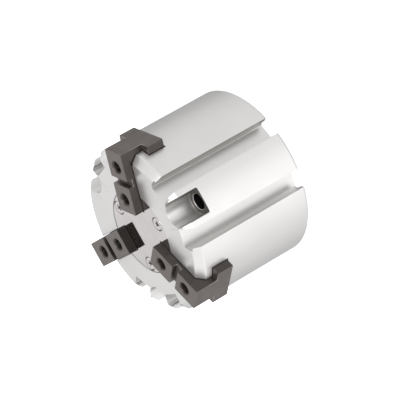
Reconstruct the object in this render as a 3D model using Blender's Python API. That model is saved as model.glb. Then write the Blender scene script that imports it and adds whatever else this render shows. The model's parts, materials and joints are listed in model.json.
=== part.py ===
"""Three-finger parallel pneumatic gripper, 50 mm bore, 12 mm opening stroke on the diameter.

The gripper stands on its rear face: the origin is at the middle of the rear mounting face and +Z runs
along the body towards the fingers. The fingers are closed. Every length is in metres.
"""

import math

import bmesh
import bpy
from mathutils import Matrix

MM = 0.001
GAP = 0.3 * MM                      # clearance between neighbouring pieces

# Body
BODY_RADIUS = 35.0 * MM
BODY_LENGTH = 55.0 * MM
RIM_CHAMFER = 3.0 * MM
REAR_CHAMFER = 1.0 * MM
BODY_SEGMENTS = 80

# Fingers, in the closed position
FINGER_ANGLES = (90.0, -30.0, -150.0)
FINGER_WIDTH = 10.3 * MM
FINGER_INNER = 10.6 * MM
FINGER_OUTER = 37.2 * MM
FINGER_RISE = 3.7 * MM              # height of the finger above the body's front face
FLANGE_WIDTH = 18.5 * MM
FLANGE_TOP = BODY_LENGTH - 6.4 * MM
FLANGE_BOTTOM = BODY_LENGTH - 13.8 * MM
KEYWAY_INNER = 22.5 * MM
KEYWAY_WIDTH = 3.0 * MM
KEYWAY_DEPTH = 2.3 * MM
TAPPED_RADIUS = 2.1 * MM            # core of an M5 thread
TAPPED_MOUTH = 2.6 * MM
TAPPED_DEPTH = 9.0 * MM
TAPPED_PLACES = (16.3 * MM, 30.4 * MM)
FINGER_CHAMFER = 0.5 * MM
STROKE = 6.0 * MM

# End plate and its screws
PLATE_RADIUS = 17.5 * MM
PLATE_THICKNESS = 2.0 * MM
PLATE_SUNK = 0.2 * MM
SCREW_CIRCLE = 14.3 * MM
SCREW_HEAD_RADIUS = 2.7 * MM
SCREW_HEAD_HEIGHT = 0.9 * MM
SCREW_SHANK_RADIUS = 1.25 * MM
SCREW_LENGTH = 6.5 * MM
SCREW_ANGLES = (30.0, 150.0, -90.0)

# Mounting recesses and bolt holes
BOLT_CIRCLE = 30.5 * MM
BOLT_HOLE_RADIUS = 3.3 * MM
RECESS_RADIUS = 5.3 * MM
RECESS_DEPTH = 12.0 * MM

# Sensor grooves beside the recesses
GROOVE_ANGLES = (10.6, 49.4, 130.6)
DEEP_GROOVE_ANGLES = (-109.4, -70.6)
GROOVE_FLOOR = 28.3 * MM
DEEP_GROOVE_FLOOR = 27.0 * MM
GROOVE_FLOOR_HALF = 4.3 * MM
GROOVE_SHELF = 30.6 * MM
GROOVE_WIDE_HALF = 4.7 * MM
GROOVE_LIP = 32.2 * MM
GROOVE_MOUTH_HALF = 3.8 * MM

# Cylinder
BORE_RADIUS = 25.0 * MM
CAP_SEAT_RADIUS = 25.6 * MM
CAP_SEAT_TOP = 8.6 * MM
BORE_TOP = 26.0 * MM
CHAMBER_FLOOR = 30.2 * MM
ROD_RADIUS = 8.0 * MM
ROD_SEAL_RADIUS = 11.0 * MM
ROD_SEAL_TOP = BORE_TOP + 2.8 * MM
RETAINER_RADIUS = 12.6 * MM
RETAINER_TOP = BORE_TOP + 1.0 * MM
PISTON_THICKNESS = 10.3 * MM
PISTON_BOTTOM = 9.0 * MM
PISTON_TOP = PISTON_BOTTOM + PISTON_THICKNESS
PISTON_LAND_RADIUS = 22.4 * MM
PISTON_GROOVE_RADIUS = 21.6 * MM
SEAL_GROOVE = (PISTON_BOTTOM + 2.7 * MM, PISTON_BOTTOM + 5.2 * MM)
MAGNET_GROOVE = (PISTON_BOTTOM + 5.8 * MM, PISTON_BOTTOM + 8.1 * MM)
PISTON_BAND = (PISTON_BOTTOM + 2.2 * MM, PISTON_BOTTOM + 8.7 * MM)
BUMPER_INNER = 15.0 * MM
BUMPER_OUTER = 18.6 * MM
BUMPER_DEPTH = 1.2 * MM
BUMPER_PROUD = 0.4 * MM
BOLT_RADIUS = 3.0 * MM              # M6, from the piston into the cam
BOLT_HEAD_RADIUS = 5.0 * MM
BOLT_HEAD_HEIGHT = 6.0 * MM
BOLT_SOCKET_RADIUS = 2.9 * MM
BOLT_SOCKET_DEPTH = 3.0 * MM
BOLT_HEAD_FLOOR = PISTON_BOTTOM + 7.2 * MM
BOLT_TIP = 37.3 * MM
PORT_RADIUS = 2.1 * MM              # core of an M5 port
PORT_DEPTH = 6.0 * MM
PORT_PASSAGE_RADIUS = 0.8 * MM
PORT_PASSAGE_INNER = BORE_RADIUS - 3.0 * MM
PORT_ANGLE = -150.0
PORT_HEIGHTS = (10.1 * MM, 24.9 * MM)

# Wedge cam
CAM_RADIUS = 19.0 * MM
CAM_BOTTOM = CHAMBER_FLOOR + GAP
CAM_HUB_RADIUS = 10.4 * MM
CAM_ARM_LENGTH = 18.0 * MM
CAM_ARM_WIDTH = 12.6 * MM
CAM_FLANGE_TOP = CAM_BOTTOM + 4.2 * MM
CAM_TOP = 42.5 * MM
CHAMBER_RADIUS = 19.5 * MM
CENTRE_BORE_RADIUS = 11.0 * MM
LEG_WIDTH = 8.0 * MM
LEG_OUTER = 22.0 * MM
LEG_BOTTOM = 31.5 * MM
KEY_NECK_WIDTH = 4.0 * MM
KEY_HEAD_WIDTH = 7.0 * MM
KEY_NECK_DEPTH = 2.0 * MM
KEY_DEPTH = 3.8 * MM
KEY_LOW = 33.6 * MM
KEY_HIGH = 42.3 * MM
TOE_TOP = 44.0 * MM
CAM_THREAD_TOP = 38.0 * MM

# Cap and retaining ring
CAP_BOTTOM = 2.7 * MM
CAP_TOP = CAP_SEAT_TOP - GAP
CAP_BOSS_RADIUS = 17.0 * MM
CAP_GROOVE_RADIUS = 23.8 * MM
CAP_GROOVE = (4.4 * MM, 6.6 * MM)
CAP_DISH_RADIUS = 20.0 * MM
CAP_DISH_DEPTH = 1.0 * MM
CAP_O_RING_RADIUS = 24.7 * MM
CAP_O_RING_THICKNESS = 0.7 * MM
RING_GROOVE_RADIUS = 26.3 * MM
RING_BOTTOM = 1.0 * MM
RING_THICKNESS = 1.4 * MM
RING_PLAY = 0.2 * MM
RING_INNER = 22.2 * MM
RING_OUTER = 26.0 * MM
RING_OPENING = 16.0                 # degrees from the middle of the gap to each end
RING_EYE_CIRCLE = 22.0 * MM
RING_EYE_RADIUS = 2.3 * MM
RING_EYE_HOLE = 1.0 * MM


def clear_scene():
    for old in list(bpy.data.objects):
        bpy.data.objects.remove(old, do_unlink=True)


def material(name, colour, roughness, metallic):
    mat = bpy.data.materials.new(name)
    mat.use_nodes = True
    shader = mat.node_tree.nodes["Principled BSDF"]
    shader.inputs["Base Color"].default_value = (*colour, 1.0)
    shader.inputs["Roughness"].default_value = roughness
    shader.inputs["Metallic"].default_value = metallic
    return mat


def add_object(name, mesh, mat=None):
    obj = bpy.data.objects.new(name, mesh)
    bpy.context.scene.collection.objects.link(obj)
    if mat:
        mesh.materials.append(mat)
    return obj


def smooth(obj, degrees=35.0):
    obj.data.shade_smooth()
    obj.data.set_sharp_from_angle(angle=math.radians(degrees))


def prism(name, outline, low, high):
    """A straight prism over a counter-clockwise outline, from one height to another."""
    bm = bmesh.new()
    floor = [bm.verts.new((x, y, low)) for x, y in outline]
    roof = [bm.verts.new((x, y, high)) for x, y in outline]
    bm.faces.new(list(reversed(floor)))
    bm.faces.new(roof)
    for i in range(len(outline)):
        j = (i + 1) % len(outline)
        bm.faces.new((floor[i], floor[j], roof[j], roof[i]))
    mesh = bpy.data.meshes.new(name)
    bm.to_mesh(mesh)
    bm.free()
    return mesh


def circle(radius, segments, centre=(0.0, 0.0)):
    steps = (math.tau * i / segments for i in range(segments))
    return [(centre[0] + radius * math.cos(a), centre[1] + radius * math.sin(a)) for a in steps]


def turned(name, profile, segments):
    """A solid turned about Z. The profile is a closed loop of (radius, height), counter-clockwise."""
    bm = bmesh.new()
    rings = []
    for radius, height in profile:
        if radius < 1e-9:
            rings.append([bm.verts.new((0.0, 0.0, height))] * segments)
        else:
            rings.append([bm.verts.new((x, y, height)) for x, y in circle(radius, segments)])
    for a, b in zip(rings, rings[1:] + rings[:1]):
        for i in range(segments):
            j = (i + 1) % segments
            corners = [a[i], a[j], b[j], b[i]]
            distinct = [v for k, v in enumerate(corners) if v not in corners[:k]]
            if len(distinct) > 2:
                bm.faces.new(distinct)
    mesh = bpy.data.meshes.new(name)
    bm.to_mesh(mesh)
    bm.free()
    return mesh


def box(name, x, y, z):
    (x0, x1), (y0, y1), (z0, z1) = x, y, z
    return prism(name, [(x0, y0), (x1, y0), (x1, y1), (x0, y1)], z0, z1)


def side_prism(name, outline, half_width):
    """A prism over an outline in (radius, height), as thick as the given width, lying along +X."""
    mesh = prism(name, [(-h, r) for r, h in outline], -half_width, half_width)
    mesh.transform(Matrix(((0, 1, 0, 0), (0, 0, 1, 0), (-1, 0, 0, 0), (0, 0, 0, 1))))
    return mesh


def turn_to(mesh, degrees):
    mesh.transform(Matrix.Rotation(math.radians(degrees), 4, "Z"))
    return mesh


def outward(mesh):
    bm = bmesh.new()
    bm.from_mesh(mesh)
    bmesh.ops.recalc_face_normals(bm, faces=bm.faces)
    bm.to_mesh(mesh)
    bm.free()
    return mesh


def join_or_cut(target, mesh, operation):
    """Add a Boolean modifier to an object, with the second shape kept as a hidden helper object."""
    helper = add_object(target.name + "_helper", outward(mesh))
    helper.hide_render = True
    helper.display_type = "WIRE"
    boolean = target.modifiers.new(operation.title(), "BOOLEAN")
    boolean.operation = operation
    boolean.solver = "EXACT"
    boolean.object = helper
    return boolean


def cut(target, mesh):
    return join_or_cut(target, mesh, "DIFFERENCE")


def add(target, mesh):
    return join_or_cut(target, mesh, "UNION")


def groove_outline(floor):
    """Half of a sensor groove's section, mirrored: mouth, wide undercut and floor."""
    beyond = BODY_RADIUS + 2 * MM
    half = [(beyond, GROOVE_MOUTH_HALF), (GROOVE_LIP, GROOVE_MOUTH_HALF), (GROOVE_LIP, GROOVE_WIDE_HALF),
            (GROOVE_SHELF, GROOVE_WIDE_HALF), (floor, GROOVE_FLOOR_HALF)]
    return [(x, -y) for x, y in reversed(half)] + half


def recess_outline():
    """A U-shaped pocket: a half circle about the bolt hole, open towards the outside."""
    arc = [math.radians(90 + 180 * i / 16) for i in range(17)]
    inner = [(BOLT_CIRCLE + RECESS_RADIUS * math.cos(a), RECESS_RADIUS * math.sin(a)) for a in arc]
    beyond = BODY_RADIUS + 2 * MM
    return inner + [(beyond, -RECESS_RADIUS), (beyond, RECESS_RADIUS)]


def make_body(mat):
    plate_seat = BODY_LENGTH - PLATE_SUNK - PLATE_THICKNESS - GAP
    ring_low = RING_BOTTOM - RING_PLAY
    ring_high = RING_BOTTOM + RING_THICKNESS + RING_PLAY
    profile = [
        (BODY_RADIUS - REAR_CHAMFER, 0.0), (BODY_RADIUS, REAR_CHAMFER),
        (BODY_RADIUS, BODY_LENGTH - RIM_CHAMFER), (BODY_RADIUS - RIM_CHAMFER, BODY_LENGTH),
        (PLATE_RADIUS + GAP, BODY_LENGTH), (PLATE_RADIUS + GAP, plate_seat),
        (CENTRE_BORE_RADIUS, plate_seat), (CENTRE_BORE_RADIUS, FLANGE_BOTTOM - GAP),
        (CHAMBER_RADIUS, FLANGE_BOTTOM - GAP), (CHAMBER_RADIUS, CHAMBER_FLOOR),
        (ROD_RADIUS + GAP, CHAMBER_FLOOR), (ROD_RADIUS + GAP, ROD_SEAL_TOP),
        (ROD_SEAL_RADIUS, ROD_SEAL_TOP), (ROD_SEAL_RADIUS, RETAINER_TOP),
        (RETAINER_RADIUS, RETAINER_TOP), (RETAINER_RADIUS, BORE_TOP),
        (BORE_RADIUS, BORE_TOP), (BORE_RADIUS, CAP_SEAT_TOP), (CAP_SEAT_RADIUS, CAP_SEAT_TOP),
        (CAP_SEAT_RADIUS, ring_high), (RING_GROOVE_RADIUS, ring_high),
        (RING_GROOVE_RADIUS, ring_low), (CAP_SEAT_RADIUS, ring_low), (CAP_SEAT_RADIUS, 0.0),
    ]
    body = add_object("body", turned("body", profile, BODY_SEGMENTS), mat)
    above = BODY_LENGTH + 1 * MM
    beyond = BODY_RADIUS + 4 * MM
    middle = 5 * MM
    narrow = FINGER_WIDTH / 2 + GAP
    wide = FLANGE_WIDTH / 2 + GAP
    leg = LEG_WIDTH / 2 + GAP
    leg_end = LEG_OUTER + STROKE + 2 * GAP
    for angle in FINGER_ANGLES:
        cut(body, turn_to(box("slot", (middle, beyond), (-narrow, narrow), (FLANGE_TOP, above)), angle))
        flange_span = (FLANGE_BOTTOM - GAP, FLANGE_TOP + GAP)
        cut(body, turn_to(box("slot", (middle, beyond), (-wide, wide), flange_span), angle))
        leg_span = (CHAMBER_FLOOR, FLANGE_BOTTOM)
        cut(body, turn_to(box("slot", (middle, leg_end), (-leg, leg), leg_span), angle))
    for angle in SCREW_ANGLES:
        recess_floor = BODY_LENGTH - RECESS_DEPTH
        cut(body, turn_to(prism("recess", recess_outline(), recess_floor, above), angle))
        bolt = circle(BOLT_HOLE_RADIUS, 24, (BOLT_CIRCLE, 0.0))
        cut(body, turn_to(prism("bolt_hole", bolt, -1 * MM, recess_floor + 1 * MM), angle))
        pilot = circle(SCREW_SHANK_RADIUS + GAP, 16, (SCREW_CIRCLE, 0.0))
        pilot_floor = BODY_LENGTH - PLATE_SUNK - SCREW_LENGTH - 1 * MM
        cut(body, turn_to(prism("pilot", pilot, pilot_floor, above), angle))
    for angles, floor in ((GROOVE_ANGLES, GROOVE_FLOOR), (DEEP_GROOVE_ANGLES, DEEP_GROOVE_FLOOR)):
        for angle in angles:
            cut(body, turn_to(prism("groove", groove_outline(floor), -1 * MM, above), angle))
    for height in PORT_HEIGHTS:
        drill = Matrix.Translation((0, 0, height)) @ Matrix.Rotation(math.radians(90), 4, "Y")
        thread = prism("port", circle(PORT_RADIUS, 20), BODY_RADIUS - PORT_DEPTH, beyond)
        thread.transform(drill)
        cut(body, turn_to(thread, PORT_ANGLE))
        passage = prism("port", circle(PORT_PASSAGE_RADIUS, 12), PORT_PASSAGE_INNER, beyond)
        passage.transform(drill)
        cut(body, turn_to(passage, PORT_ANGLE))
    smooth(body)
    return body


def make_end_plate(mat):
    top = BODY_LENGTH - PLATE_SUNK
    bottom = top - PLATE_THICKNESS
    plate = add_object("end_plate", prism("end_plate", circle(PLATE_RADIUS, 72), bottom, top), mat)
    half = FINGER_WIDTH / 2 + GAP
    for angle in FINGER_ANGLES:
        span = (FINGER_INNER - GAP, PLATE_RADIUS + 2 * MM)
        cut(plate, turn_to(box("slot", span, (-half, half), (bottom - GAP, top + GAP)), angle))
    for angle in SCREW_ANGLES:
        sink = circle(SCREW_HEAD_RADIUS + GAP, 24, (SCREW_CIRCLE, 0.0))
        cut(plate, turn_to(prism("sink", sink, top - SCREW_HEAD_HEIGHT - GAP, top + GAP), angle))
        hole = circle(SCREW_SHANK_RADIUS + GAP, 16, (SCREW_CIRCLE, 0.0))
        cut(plate, turn_to(prism("hole", hole, bottom - GAP, top + GAP), angle))
    smooth(plate)
    return plate


def make_plate_screws(mat):
    top = BODY_LENGTH - PLATE_SUNK
    neck = top - SCREW_HEAD_HEIGHT
    tip = top - SCREW_LENGTH
    crown = 0.25 * MM
    for number, angle in enumerate(SCREW_ANGLES, 1):
        profile = [(0.0, tip), (SCREW_SHANK_RADIUS - 0.3 * MM, tip), (SCREW_SHANK_RADIUS, tip + 0.4 * MM),
                   (SCREW_SHANK_RADIUS, neck), (SCREW_HEAD_RADIUS, neck),
                   (SCREW_HEAD_RADIUS, top - crown), (SCREW_HEAD_RADIUS - 0.6 * MM, top), (0.0, top)]
        mesh = turned("end_plate_screw", profile, 24)
        mesh.transform(Matrix.Translation((SCREW_CIRCLE, 0, 0)))
        screw = add_object(f"end_plate_screw_{number}", turn_to(mesh, angle), mat)
        for turn in (0, 90):
            arm = box("cross", (-1.5 * MM, 1.5 * MM), (-0.3 * MM, 0.3 * MM), (top - 0.7 * MM, top + GAP))
            turn_to(arm, turn + 45)
            arm.transform(Matrix.Translation((SCREW_CIRCLE, 0, 0)))
            cut(screw, turn_to(arm, angle))
        smooth(screw)


def slope_point(height, depth=0.0):
    """A point of (radius, height) on the cam's slope, moved into the cam by the given depth."""
    radius = CAM_RADIUS - (height - CAM_BOTTOM)
    shift = depth / math.sqrt(2)
    return (radius - shift, height - shift)


def slope_strip(low, high, top_depth, bottom_depth):
    """A strip along the slope between two depths below its surface; negative depths are outside."""
    return [slope_point(high, top_depth), slope_point(high, bottom_depth),
            slope_point(low, bottom_depth), slope_point(low, top_depth)]


def make_finger(number, angle, mat):
    front = BODY_LENGTH + FINGER_RISE
    block = FINGER_WIDTH / 2
    wide = FLANGE_WIDTH / 2
    ease = FINGER_CHAMFER
    half = [(wide - ease, FLANGE_BOTTOM), (wide, FLANGE_BOTTOM + ease), (wide, FLANGE_TOP - ease),
            (wide - ease, FLANGE_TOP), (block, FLANGE_TOP), (block, front - ease), (block - ease, front)]
    section = half + [(-x, z) for x, z in reversed(half)]
    mesh = prism(f"finger_{number}", section, FINGER_INNER, FINGER_OUTER)
    mesh.transform(Matrix(((0, 0, 1, 0), (1, 0, 0, 0), (0, 1, 0, 0), (0, 0, 0, 1))))
    finger = add_object(f"finger_{number}", outward(mesh), mat)
    gap = -GAP
    toe = slope_point(KEY_HIGH, gap)
    inside = 1 * MM
    leg = [toe, slope_point(LEG_BOTTOM, gap), (LEG_OUTER, LEG_BOTTOM), (LEG_OUTER, FLANGE_BOTTOM + inside),
           (FINGER_INNER + inside, FLANGE_BOTTOM + inside), (FINGER_INNER + inside, TOE_TOP), (toe[0], TOE_TOP)]
    add(finger, side_prism("leg", leg, LEG_WIDTH / 2))
    neck = slope_strip(KEY_LOW + 0.2 * MM, KEY_HIGH - 0.8 * MM, gap - 1 * MM, KEY_DEPTH - 1 * MM)
    add(finger, side_prism("neck", neck, KEY_NECK_WIDTH / 2))
    head = slope_strip(KEY_LOW, KEY_HIGH - 0.5 * MM, KEY_NECK_DEPTH, KEY_DEPTH)
    add(finger, side_prism("head", head, KEY_HEAD_WIDTH / 2))
    for place in TAPPED_PLACES:
        floor = front - TAPPED_DEPTH
        sink = TAPPED_MOUTH - TAPPED_RADIUS
        drill = [(0.0, floor), (TAPPED_RADIUS, floor + 1 * MM), (TAPPED_RADIUS, front - sink),
                 (TAPPED_MOUTH + sink, front + sink), (0.0, front + sink)]
        hole = turned("hole", drill, 20)
        hole.transform(Matrix.Translation((place, 0, 0)))
        cut(finger, hole)
    key = (KEYWAY_INNER, KEYWAY_INNER + KEYWAY_WIDTH)
    cut(finger, box("key", key, (-wide, wide), (front - KEYWAY_DEPTH, front + 1 * MM)))
    finger.rotation_euler.z = math.radians(angle)
    for helper in (m.object for m in finger.modifiers if m.type == "BOOLEAN"):
        helper.parent = finger
    smooth(finger)
    return finger


def make_cam(mat):
    profile = [(0.0, CAM_BOTTOM), (CAM_RADIUS, CAM_BOTTOM), (CAM_RADIUS, CAM_FLANGE_TOP),
               (CAM_HUB_RADIUS, CAM_FLANGE_TOP), (CAM_HUB_RADIUS, CAM_TOP), (0.0, CAM_TOP)]
    cam = add_object("cam", turned("cam", profile, 48), mat)
    low = CAM_BOTTOM - 6 * MM
    high = CAM_TOP + 6 * MM
    arm_span = (CAM_BOTTOM + 1 * MM, CAM_TOP - 0.4 * MM)
    for angle in FINGER_ANGLES:
        arm = box("arm", (0.0, CAM_ARM_LENGTH), (-CAM_ARM_WIDTH / 2, CAM_ARM_WIDTH / 2), arm_span)
        add(cam, turn_to(arm, angle))
    for angle in FINGER_ANGLES:
        away = slope_strip(low, high, -30 * MM, 0.0)
        cut(cam, turn_to(side_prism("slope", away, 30 * MM), angle))
        neck = slope_strip(low, high, -1 * MM, KEY_DEPTH)
        cut(cam, turn_to(side_prism("neck", neck, KEY_NECK_WIDTH / 2 + GAP), angle))
        head = slope_strip(low, high, KEY_NECK_DEPTH - GAP, KEY_DEPTH + GAP)
        cut(cam, turn_to(side_prism("head", head, KEY_HEAD_WIDTH / 2 + GAP), angle))
    cut(cam, prism("thread", circle(BOLT_RADIUS + GAP, 24), CAM_BOTTOM - 1 * MM, CAM_THREAD_TOP))
    smooth(cam)
    return cam


def make_piston(mat):
    rod_top = CAM_BOTTOM - GAP
    full = BORE_RADIUS - GAP
    bolt_hole = BOLT_RADIUS + GAP
    head_hole = BOLT_HEAD_RADIUS + GAP
    low_seat = PISTON_BOTTOM + BUMPER_DEPTH
    high_seat = PISTON_TOP - BUMPER_DEPTH
    profile = [
        (head_hole, PISTON_BOTTOM), (BUMPER_INNER, PISTON_BOTTOM), (BUMPER_INNER, low_seat),
        (BUMPER_OUTER, low_seat), (BUMPER_OUTER, PISTON_BOTTOM), (PISTON_LAND_RADIUS, PISTON_BOTTOM),
        (PISTON_LAND_RADIUS, PISTON_BAND[0]), (full, PISTON_BAND[0]),
        (full, SEAL_GROOVE[0]), (PISTON_GROOVE_RADIUS, SEAL_GROOVE[0]),
        (PISTON_GROOVE_RADIUS, SEAL_GROOVE[1]), (full, SEAL_GROOVE[1]),
        (full, MAGNET_GROOVE[0]), (PISTON_GROOVE_RADIUS, MAGNET_GROOVE[0]),
        (PISTON_GROOVE_RADIUS, MAGNET_GROOVE[1]), (full, MAGNET_GROOVE[1]),
        (full, PISTON_BAND[1]), (PISTON_LAND_RADIUS, PISTON_BAND[1]),
        (PISTON_LAND_RADIUS, PISTON_TOP), (BUMPER_OUTER, PISTON_TOP), (BUMPER_OUTER, high_seat),
        (BUMPER_INNER, high_seat), (BUMPER_INNER, PISTON_TOP), (ROD_RADIUS, PISTON_TOP),
        (ROD_RADIUS, rod_top), (bolt_hole, rod_top), (bolt_hole, BOLT_HEAD_FLOOR),
        (head_hole, BOLT_HEAD_FLOOR),
    ]
    piston = add_object("piston", turned("piston", profile, 36), mat)
    smooth(piston)
    return piston


def make_ring(name, mat, inner, outer, low, high, segments=36, lip=0.0):
    """A ring with a small chamfer, or with a lip that leans outwards at its rim."""
    ease = min(0.25 * MM, (outer - inner) / 4, (high - low) / 4)
    profile = [(inner, low), (outer - ease, low), (outer, low + ease), (outer, high - ease),
               (outer - ease, high), (inner, high)]
    if lip:
        middle = (inner + outer) / 2
        profile = [(inner, low), (outer - ease, low), (outer, low + ease), (outer, high),
                   (middle + lip, high), (middle, high - lip), (middle - lip, high), (inner, high)]
    ring = add_object(name, turned(name, profile, segments), mat)
    smooth(ring)
    return ring


def make_o_ring(name, mat, radius, thickness, height, segments=36):
    sides = 6
    turns = (math.tau * i / sides for i in range(sides))
    profile = [(radius + thickness * math.cos(a), height + thickness * math.sin(a)) for a in turns]
    ring = add_object(name, turned(name, profile, segments), mat)
    smooth(ring, 60)
    return ring


def make_piston_bolt(mat):
    low = PISTON_BOTTOM + GAP
    seat = low + BOLT_HEAD_HEIGHT
    head_ease = 0.3 * MM
    tip_ease = 0.5 * MM
    profile = [(0.0, low), (BOLT_HEAD_RADIUS - head_ease, low), (BOLT_HEAD_RADIUS, low + head_ease),
               (BOLT_HEAD_RADIUS, seat), (BOLT_RADIUS, seat), (BOLT_RADIUS, BOLT_TIP - tip_ease),
               (BOLT_RADIUS - tip_ease, BOLT_TIP), (0.0, BOLT_TIP)]
    bolt = add_object("piston_bolt", turned("piston_bolt", profile, 24), mat)
    cut(bolt, prism("socket", circle(BOLT_SOCKET_RADIUS, 6), low - 1 * MM, low + BOLT_SOCKET_DEPTH))
    smooth(bolt)
    return bolt


def make_cap(mat):
    outer = CAP_SEAT_RADIUS - GAP
    dish_top = CAP_TOP - CAP_DISH_DEPTH
    profile = [
        (0.0, 0.0), (CAP_BOSS_RADIUS, 0.0), (CAP_BOSS_RADIUS, CAP_BOTTOM), (outer, CAP_BOTTOM),
        (outer, CAP_GROOVE[0]), (CAP_GROOVE_RADIUS, CAP_GROOVE[0]),
        (CAP_GROOVE_RADIUS, CAP_GROOVE[1]), (outer, CAP_GROOVE[1]), (outer, CAP_TOP),
        (CAP_DISH_RADIUS, CAP_TOP), (CAP_DISH_RADIUS - CAP_DISH_DEPTH, dish_top), (0.0, dish_top),
    ]
    cap = add_object("cap", turned("cap", profile, 48), mat)
    smooth(cap)
    return cap


def make_retaining_ring(mat):
    """A C-type internal snap ring: an open band with an eye at each end."""
    low = RING_BOTTOM
    high = RING_BOTTOM + RING_THICKNESS
    steps = 44
    sweep = [math.radians(RING_OPENING + (360 - 2 * RING_OPENING) * i / steps) for i in range(steps + 1)]
    outer = [(RING_OUTER * math.cos(a), RING_OUTER * math.sin(a)) for a in sweep]
    inner = [(RING_INNER * math.cos(a), RING_INNER * math.sin(a)) for a in reversed(sweep)]
    band = turn_to(prism("retaining_ring", outer + inner, low, high), PORT_ANGLE)
    ring = add_object("retaining_ring", band, mat)
    for side in (-1, 1):
        angle = math.radians(side * (RING_OPENING + 2.0))
        place = (RING_EYE_CIRCLE * math.cos(angle), RING_EYE_CIRCLE * math.sin(angle))
        eye = prism("eye", circle(RING_EYE_RADIUS, 16, place), low, high)
        add(ring, turn_to(eye, PORT_ANGLE))
        hole = prism("eye_hole", circle(RING_EYE_HOLE, 12, place), low - 1 * MM, high + 1 * MM)
        cut(ring, turn_to(hole, PORT_ANGLE))
    smooth(ring)
    return ring


def main():
    clear_scene()
    aluminium = material("blasted_aluminium", (0.80, 0.80, 0.81), 0.45, 0.9)
    dark_steel = material("treated_steel", (0.10, 0.085, 0.078), 0.4, 0.9)
    stainless = material("polished_stainless", (0.66, 0.64, 0.63), 0.15, 1.0)
    steel = material("steel", (0.45, 0.45, 0.46), 0.35, 1.0)
    spring_steel = material("spring_steel", (0.16, 0.16, 0.17), 0.4, 1.0)
    rubber = material("nitrile_rubber", (0.02, 0.02, 0.02), 0.8, 0.0)
    urethane = material("urethane", (0.55, 0.30, 0.08), 0.6, 0.0)
    magnet = material("rubber_magnet", (0.06, 0.05, 0.05), 0.7, 0.0)
    plain_aluminium = material("machined_aluminium", (0.72, 0.72, 0.73), 0.35, 1.0)

    make_body(aluminium)
    make_end_plate(stainless)
    make_plate_screws(stainless)
    for number, angle in enumerate(FINGER_ANGLES, 1):
        make_finger(number, angle, dark_steel)
    make_cam(steel)
    make_piston(plain_aluminium)
    make_piston_bolt(steel)
    make_ring("bolt_seal", rubber, BOLT_RADIUS + GAP, BOLT_HEAD_RADIUS, PISTON_BOTTOM + 6.4 * MM,
              BOLT_HEAD_FLOOR - 0.1 * MM, 24)
    ring_inner = PISTON_GROOVE_RADIUS + GAP
    fit = 0.2 * MM
    make_ring("piston_seal", rubber, ring_inner, BORE_RADIUS - 0.1 * MM, SEAL_GROOVE[0] + fit,
              SEAL_GROOVE[1] - fit, lip=0.5 * MM)
    make_ring("piston_magnet", magnet, ring_inner, BORE_RADIUS - 2 * GAP, MAGNET_GROOVE[0] + fit,
              MAGNET_GROOVE[1] - fit)
    make_ring("bumper_rear", urethane, BUMPER_INNER + fit, BUMPER_OUTER - fit,
              PISTON_BOTTOM - BUMPER_PROUD, PISTON_BOTTOM + BUMPER_DEPTH - GAP)
    make_ring("bumper_front", urethane, BUMPER_INNER + fit, BUMPER_OUTER - fit,
              PISTON_TOP - BUMPER_DEPTH + GAP, PISTON_TOP + BUMPER_PROUD)
    make_ring("rod_seal", rubber, ROD_RADIUS + 0.1 * MM, ROD_SEAL_RADIUS - fit, RETAINER_TOP + 0.1 * MM,
              ROD_SEAL_TOP - fit, 30, lip=0.4 * MM)
    make_ring("rod_seal_retainer", steel, ROD_RADIUS + GAP, RETAINER_RADIUS - GAP,
              BORE_TOP + 0.1 * MM, RETAINER_TOP - 0.1 * MM, 30)
    make_cap(plain_aluminium)
    make_o_ring("cap_o_ring", rubber, CAP_O_RING_RADIUS, CAP_O_RING_THICKNESS, sum(CAP_GROOVE) / 2)
    make_retaining_ring(spring_steel)


main()
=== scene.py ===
"""Looks of the three-finger pneumatic gripper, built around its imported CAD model."""

import json
import math

import bmesh
import bpy
from mathutils import Matrix, Vector


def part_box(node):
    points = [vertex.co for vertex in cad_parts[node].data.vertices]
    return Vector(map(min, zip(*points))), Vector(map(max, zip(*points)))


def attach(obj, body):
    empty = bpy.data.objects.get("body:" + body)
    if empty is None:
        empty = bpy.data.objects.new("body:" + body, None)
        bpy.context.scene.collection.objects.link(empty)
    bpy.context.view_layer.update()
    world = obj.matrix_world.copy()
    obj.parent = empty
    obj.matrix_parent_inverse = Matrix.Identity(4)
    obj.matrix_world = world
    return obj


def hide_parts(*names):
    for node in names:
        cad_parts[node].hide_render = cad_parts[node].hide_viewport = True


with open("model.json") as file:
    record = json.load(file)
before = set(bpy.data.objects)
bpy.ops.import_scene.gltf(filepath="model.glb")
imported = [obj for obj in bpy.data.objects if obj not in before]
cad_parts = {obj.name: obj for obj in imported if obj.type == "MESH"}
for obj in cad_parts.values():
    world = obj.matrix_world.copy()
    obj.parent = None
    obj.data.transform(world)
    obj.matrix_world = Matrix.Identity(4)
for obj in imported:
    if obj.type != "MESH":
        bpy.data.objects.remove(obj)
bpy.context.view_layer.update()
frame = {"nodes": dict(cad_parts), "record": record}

MM = 0.001
GAP = 0.3 * MM        # clearance between neighbouring pieces
CUT_PAST = 1.0 * MM   # how far a cutter reaches past the surface that it opens
MARGIN = 0.1 * MM     # and a test for a hole past the hole's edge

# Read from the frame
BODY_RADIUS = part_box("body")[1].x
BODY_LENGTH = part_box("body")[1].z
PLATE_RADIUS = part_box("end_plate")[1].x
PLATE_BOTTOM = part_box("end_plate")[0].z
PLATE_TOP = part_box("end_plate")[1].z
SCREW_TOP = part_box("end_plate_screw_1")[1].z
FINGER_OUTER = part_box("finger_1")[1].y
FINGER_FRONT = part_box("finger_1")[1].z
FLANGE_WIDTH = 2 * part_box("finger_1")[1].x
CAP_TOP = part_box("cap")[1].z
CAP_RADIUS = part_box("cap")[1].x
RING_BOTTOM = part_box("retaining_ring")[0].z
RING_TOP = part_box("retaining_ring")[1].z
CAM_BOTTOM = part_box("cam")[0].z
CAM_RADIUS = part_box("cam")[1].x

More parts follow.
